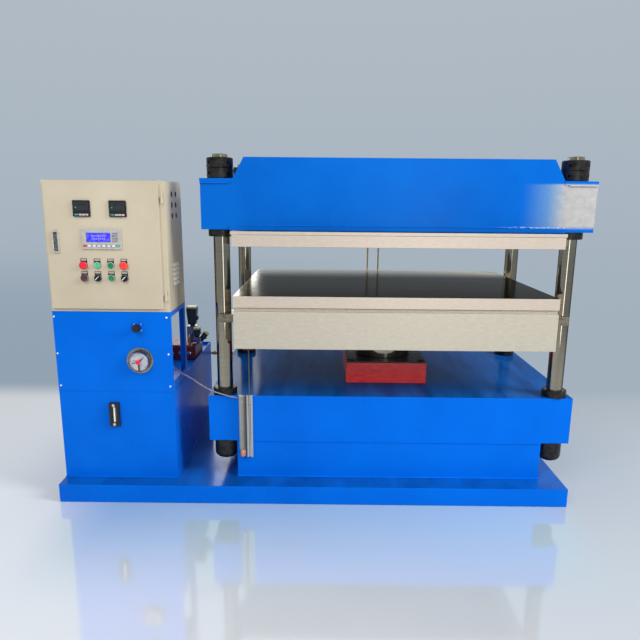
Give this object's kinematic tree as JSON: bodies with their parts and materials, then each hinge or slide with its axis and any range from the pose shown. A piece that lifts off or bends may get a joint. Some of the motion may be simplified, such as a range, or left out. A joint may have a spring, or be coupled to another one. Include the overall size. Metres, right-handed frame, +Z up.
{
  "type": "rubber vulcanizing press",
  "caption": "Four-column hydraulic platen press with heated plates, power unit and control box on a common base.",
  "frame": {"origin": "on the floor, under the middle of the whole machine", "axes": "+X to the right of the front, along the longest side; +Y to the back; +Z up"},
  "size_m": [2.278, 1, 1.5063],
  "materials": {
    "blue_paint": "glossy blue paint on welded steel",
    "beige_paint": "beige powder coat on sheet steel",
    "red_paint": "red paint on steel",
    "dark_red_paint": "dark red primer",
    "black_paint": "black paint",
    "chrome": "hard chrome, ground",
    "ground_steel": "ground steel plate",
    "machined_iron": "machined steel, pale",
    "machined_steel": "turned steel",
    "black_steel": "black oxide on turned steel",
    "galvanised_steel": "zinc plated sheet",
    "pump_iron": "cast iron, dark paint",
    "alloy": "plain extruded alloy",
    "plated_pipe": "yellow zinc plating on steel pipe",
    "fibre_board": "heat insulating fibre board",
    "black_plastic": "moulded black plastic",
    "grey_plastic": "moulded grey plastic",
    "red_plastic": "moulded red plastic",
    "green_plastic": "moulded green plastic",
    "dark_red_plastic": "dark red lens",
    "clear_glass": "clear window",
    "grey_cable": "grey cable sheath"
  },
  "bodies": {
    "machine_frame": {"base_tray": "blue_paint", "table_skirt": "blue_paint", "press_bed": "blue_paint", "column_front_left": "chrome", "column_front_right": "chrome", "column_rear_left": "chrome", "column_rear_right": "chrome", "ring_nuts_front_left": "black_steel", "ring_nuts_front_right": "black_steel", "ring_nuts_rear_left": "black_steel", "ring_nuts_rear_right": "black_steel", "crosshead": "blue_paint", "upper_spacer_plate": "ground_steel", "upper_heating_plate": "ground_steel", "cylinder_body": "red_paint", "gland_flange": "black_steel", "oil_tank": "blue_paint", "tank_lid": "blue_paint", "unit_frame_left": "blue_paint", "unit_frame_right": "blue_paint", "unit_front_panel": "blue_paint", "electric_motor": "black_paint", "gear_pump": "pump_iron", "valve_manifold": "dark_red_paint", "solenoid_valve_upper": "black_plastic", "solenoid_valve_lower": "black_plastic", "pressure_pipe": "plated_pipe", "regulating_valve": "pump_iron", "gauge_case": "chrome", "gauge_glass": "clear_glass", "level_gauge": "alloy", "control_box_body": "beige_paint", "equipment_plate": "galvanised_steel", "switch_rail": "alloy", "limit_switch_cable": "grey_cable", "heater_cable_left": "grey_cable", "heater_cable_right": "grey_cable"},
    "moving_platen": {"ram": "chrome", "bolster": "machined_iron", "insulation_board": "fibre_board", "lower_heating_plate": "ground_steel", "switch_rod": "dark_red_paint"},
    "box_door": {"control_box_door": "beige_paint", "temperature_controller_left": "black_plastic", "temperature_controller_right": "black_plastic", "operator_panel": "grey_plastic", "indicator_lamp": "dark_red_plastic"},
    "lock_lever_body": {"lock_lever": "black_steel"},
    "stop_button_body": {"stop_button": "red_plastic"},
    "start_button_body": {"start_button": "green_plastic"},
    "close_button_body": {"close_button": "green_plastic"},
    "open_button_body": {"open_button": "green_plastic"},
    "emergency_stop_body": {"emergency_stop": "red_plastic"},
    "heater_selector_body": {"heater_selector": "black_plastic"},
    "mode_selector_body": {"mode_selector": "black_plastic"},
    "motor_shaft_body": {"motor_shaft": "machined_steel"},
    "regulating_knob_body": {"regulating_knob": "black_plastic"},
    "gauge_pointer_body": {"gauge_pointer": "black_plastic"},
    "gauge_set_knob_body": {"gauge_set_knob": "red_plastic"},
    "breather_cap_body": {"breather_cap": "black_plastic"}
  },
  "joints": [
    {"name": "platen_lift", "type": "slide", "parent": "machine_frame", "child": "moving_platen", "axis": [0, 0, 1], "range_m": [-0.08, 0.203], "deforming": ["heater_cable_left", "heater_cable_right"]},
    {"name": "door_hinge", "type": "hinge", "parent": "machine_frame", "child": "box_door", "pos_m": [-0.643, -0.433, 1.1222], "axis": [0, 0, 1], "range_deg": [0, 120]},
    {"name": "lock_lever_lift", "type": "hinge", "parent": "box_door", "child": "lock_lever_body", "pos_m": [-1.086, -0.4408, 1.1107], "axis": [1, 0, 0], "range_deg": [0, 60]},
    {"name": "stop_button_press", "type": "slide", "parent": "box_door", "child": "stop_button_body", "axis": [0, 1, 0], "range_m": [0, 0.004], "stiffness_N_per_m": 900, "springref_m": -0.002},
    {"name": "start_button_press", "type": "slide", "parent": "box_door", "child": "start_button_body", "axis": [0, 1, 0], "range_m": [0, 0.004], "stiffness_N_per_m": 900, "springref_m": -0.002},
    {"name": "close_button_press", "type": "slide", "parent": "box_door", "child": "close_button_body", "axis": [0, 1, 0], "range_m": [0, 0.004], "stiffness_N_per_m": 900, "springref_m": -0.002},
    {"name": "open_button_press", "type": "slide", "parent": "box_door", "child": "open_button_body", "axis": [0, 1, 0], "range_m": [0, 0.004], "stiffness_N_per_m": 900, "springref_m": -0.002},
    {"name": "emergency_stop_press", "type": "slide", "parent": "box_door", "child": "emergency_stop_body", "axis": [0, 1, 0], "range_m": [0, 0.004]},
    {"name": "heater_selector_turn", "type": "hinge", "parent": "box_door", "child": "heater_selector_body", "pos_m": [-0.922, -0.4375, 0.9952], "axis": [0, -1, 0], "range_deg": [0, 90]},
    {"name": "mode_selector_turn", "type": "hinge", "parent": "box_door", "child": "mode_selector_body", "pos_m": [-0.81, -0.4375, 0.9952], "axis": [0, -1, 0], "range_deg": [0, 90]},
    {"name": "motor_spin", "type": "hinge", "parent": "machine_frame", "child": "motor_shaft_body", "pos_m": [-0.935, 0.02, 0.56], "axis": [0, 0, 1], "continuous": true},
    {"name": "regulating_knob_turn", "type": "hinge", "parent": "machine_frame", "child": "regulating_knob_body", "pos_m": [-0.771, -0.435, 0.7829], "axis": [0, -1, 0], "range_deg": [-540, 540]},
    {"name": "gauge_pointer_turn", "type": "hinge", "parent": "machine_frame", "child": "gauge_pointer_body", "pos_m": [-0.77, -0.43, 0.6349], "axis": [0, 1, 0], "range_deg": [-27, 243]},
    {"name": "gauge_set_knob_turn", "type": "hinge", "parent": "machine_frame", "child": "gauge_set_knob_body", "pos_m": [-0.77, -0.43, 0.6349], "axis": [0, -1, 0], "range_deg": [-135, 135]},
    {"name": "breather_cap_turn", "type": "hinge", "parent": "machine_frame", "child": "breather_cap_body", "pos_m": [-1.065, 0.33, 0.52], "axis": [0, 0, 1], "range_deg": [0, 90]}
  ]
}
